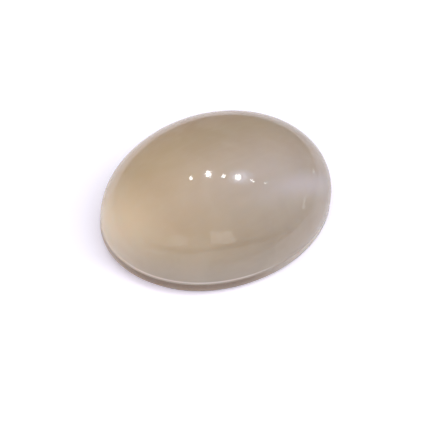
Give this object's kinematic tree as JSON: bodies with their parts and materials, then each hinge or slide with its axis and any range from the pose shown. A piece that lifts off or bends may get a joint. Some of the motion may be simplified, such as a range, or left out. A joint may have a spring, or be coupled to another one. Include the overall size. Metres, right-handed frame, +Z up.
{
  "type": "moonstone cabochon",
  "caption": "Oval gemstone cabochon with a high polished dome, a rounded girdle and a flat ground back that it rests on.",
  "frame": {"origin": "bottom centre of the stone, on its flat ground back", "axes": "+X along the oval's long axis, towards the end with the shallower wall; +Z up through the dome"},
  "size_m": [0.015, 0.012, 0.0055],
  "materials": {
    "moonstone": "glassy polished dome over milky translucent feldspar, finely ground back"
  },
  "bodies": {
    "root": {"moonstone_cabochon": "moonstone"}
  },
  "joints": []
}
